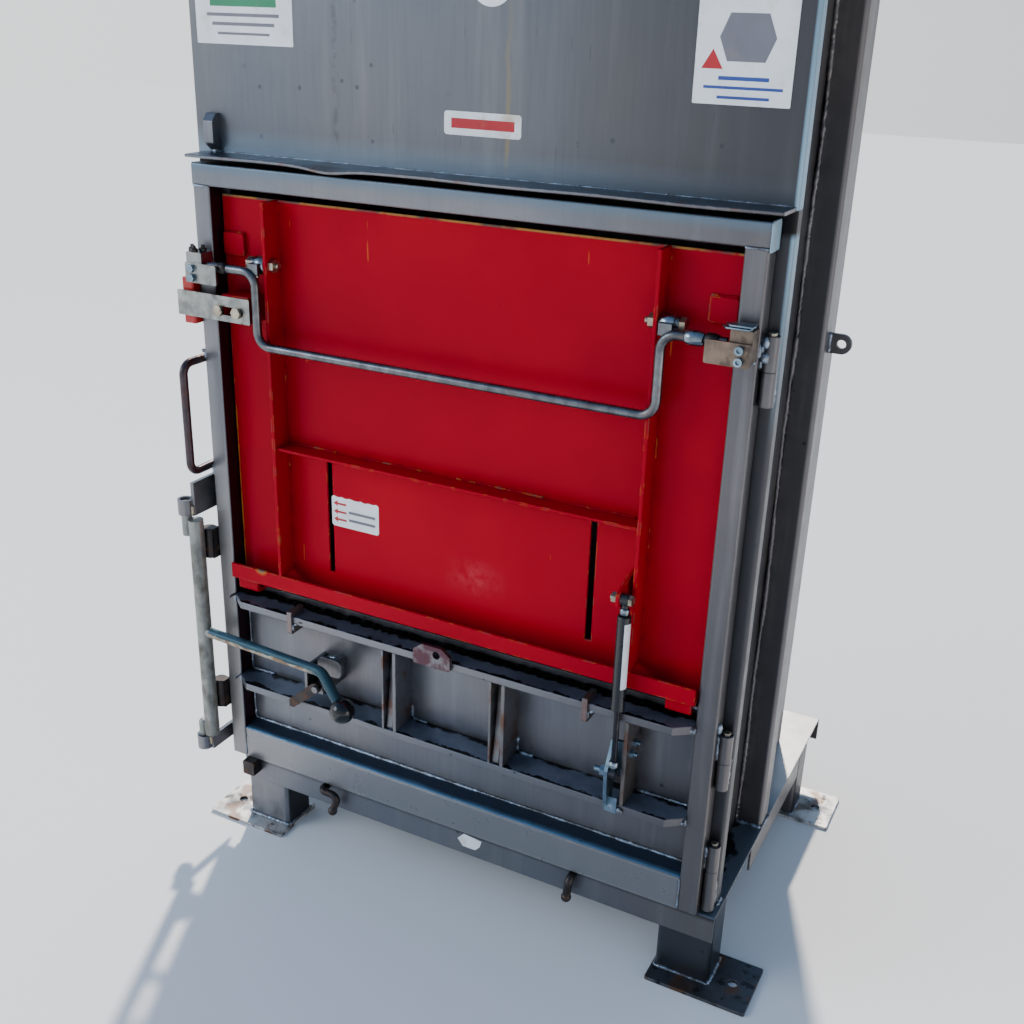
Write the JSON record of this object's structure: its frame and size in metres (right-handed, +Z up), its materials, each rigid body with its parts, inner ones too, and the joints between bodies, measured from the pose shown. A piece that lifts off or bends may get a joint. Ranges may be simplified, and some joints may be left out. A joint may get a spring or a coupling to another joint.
{
  "type": "recycling baler",
  "caption": "Vertical baler: chamber with a hinged door, red feed flap with bail latch and gas strut, crank lock, hydraulic press and push-button box.",
  "frame": {"origin": "centre of the four floor anchor holes, on the floor", "axes": "+Z up, the door faces -Y, +X to the right of a person facing the door"},
  "size_m": [0.9325, 0.661, 1.937],
  "materials": {
    "grey_paint": "metallic blue-grey paint, worn at edges",
    "red_paint": "red gloss paint, chipped at edges",
    "zinc": "zinc plated, dulled",
    "bright_steel": "bare bright steel",
    "lever_paint": "blue-grey paint, worn",
    "black_ball": "black phenolic",
    "black_paint": "satin black",
    "chrome_rod": "polished",
    "start_green": "gloss",
    "return_white": "gloss",
    "stop_red": "gloss",
    "box_grey": "light grey powder coat"
  },
  "bodies": {
    "root": {"legs": "grey_paint", "base_pan": "grey_paint", "side_wall_left": "grey_paint", "side_wall_right": "grey_paint", "rear_wall": "grey_paint", "front_sheet": "grey_paint", "drip_lip": "grey_paint", "side_column": "grey_paint", "eye_lug": "grey_paint", "top_plate": "grey_paint", "panel_lug": "grey_paint", "platen_guides": "grey_paint", "hinge_knuckles_frame": "grey_paint", "lock_bearings": "grey_paint", "door_rest": "grey_paint", "strap_hooks": "grey_paint", "press_cylinder": "grey_paint", "oil_tank": "grey_paint", "pump_motor": "grey_paint", "valve_block": "zinc", "pressure_pipes": "zinc", "hinge_pins": "bright_steel", "control_box": "box_grey", "flap_sensor": "red_paint"},
    "main_door": {"door_stile_left": "grey_paint", "door_stile_right": "grey_paint", "door_top_rail": "grey_paint", "door_bottom_rail": "grey_paint", "lower_panel": "grey_paint", "strap_guides": "grey_paint", "top_shelf": "grey_paint", "middle_shelf": "grey_paint", "shelf_tabs": "grey_paint", "hinge_knuckles_door": "grey_paint", "lock_rollers": "grey_paint", "keeper_left": "zinc", "keeper_right": "zinc", "door_fasteners": "zinc", "pull_handle": "grey_paint", "strut_gusset": "grey_paint", "lever_catch": "grey_paint", "flap_pins": "bright_steel"},
    "feed_flap": {"flap_panel": "red_paint", "flap_ribs": "red_paint", "flap_angle": "red_paint", "flap_hinge_blocks": "red_paint", "switch_flag": "zinc", "flap_brackets": "red_paint", "flap_bolts": "zinc"},
    "bail_latch": {"bail_handle": "bright_steel"},
    "gas_strut_tube": {"strut_cylinder": "black_paint"},
    "gas_strut_rod": {"strut_rod": "chrome_rod"},
    "crank_lock": {"lock_shaft": "lever_paint", "lock_knob": "black_ball"},
    "release_pawl": {"catch_pawl": "grey_paint"},
    "press_ram": {"press_rod": "chrome_rod", "press_platen": "grey_paint"},
    "start_push": {"start_button": "start_green"},
    "return_push": {"return_button": "return_white"},
    "stop_push": {"emergency_stop": "stop_red"}
  },
  "joints": [
    {"name": "door_hinge", "type": "hinge", "parent": "root", "child": "main_door", "pos_m": [0.387, -0.2415, 0.5], "axis": [0, 0, 1], "range_deg": [0, 105]},
    {"name": "flap_hinge", "type": "hinge", "parent": "main_door", "child": "feed_flap", "pos_m": [-0.0225, -0.2485, 0.44], "axis": [1, 0, 0], "range_deg": [0, 45]},
    {"name": "bail_pivot", "type": "hinge", "parent": "feed_flap", "child": "bail_latch", "pos_m": [-0.0225, -0.2565, 0.934], "axis": [-1, 0, 0], "range_deg": [0, 100]},
    {"name": "strut_pivot", "type": "hinge", "parent": "feed_flap", "child": "gas_strut_tube", "pos_m": [0.252, -0.2865, 0.587], "axis": [1, 0, 0], "range_deg": [-18.8, 0]},
    {"name": "strut_slide", "type": "slide", "parent": "gas_strut_tube", "child": "gas_strut_rod", "axis": [0, 0, 1], "range_m": [0, 0.0484]},
    {"name": "lock_pivot", "type": "hinge", "parent": "root", "child": "crank_lock", "pos_m": [-0.4565, -0.2875, 0.355], "axis": [0, 0, -1], "range_deg": [0, 180]},
    {"name": "pawl_pivot", "type": "hinge", "parent": "main_door", "child": "release_pawl", "pos_m": [-0.226, -0.288, 0.316], "axis": [0, 1, 0], "range_deg": [0, 35]},
    {"name": "ram_slide", "type": "slide", "parent": "root", "child": "press_ram", "axis": [0, 0, -1], "range_m": [0, 0.55]},
    {"name": "start_travel", "type": "slide", "parent": "root", "child": "start_push", "axis": [0, 1, 0], "range_m": [0, 0.005], "stiffness_N_per_m": 400},
    {"name": "return_travel", "type": "slide", "parent": "root", "child": "return_push", "axis": [0, 1, 0], "range_m": [0, 0.005], "stiffness_N_per_m": 400},
    {"name": "stop_travel", "type": "slide", "parent": "root", "child": "stop_push", "axis": [0, 1, 0], "range_m": [0, 0.005]}
  ],
  "couplings": [
    {"joint": "strut_pivot", "follows": "flap_hinge", "ratio": -0.4163},
    {"joint": "strut_slide", "follows": "flap_hinge", "m_per_rad": 0.061459}
  ]
}
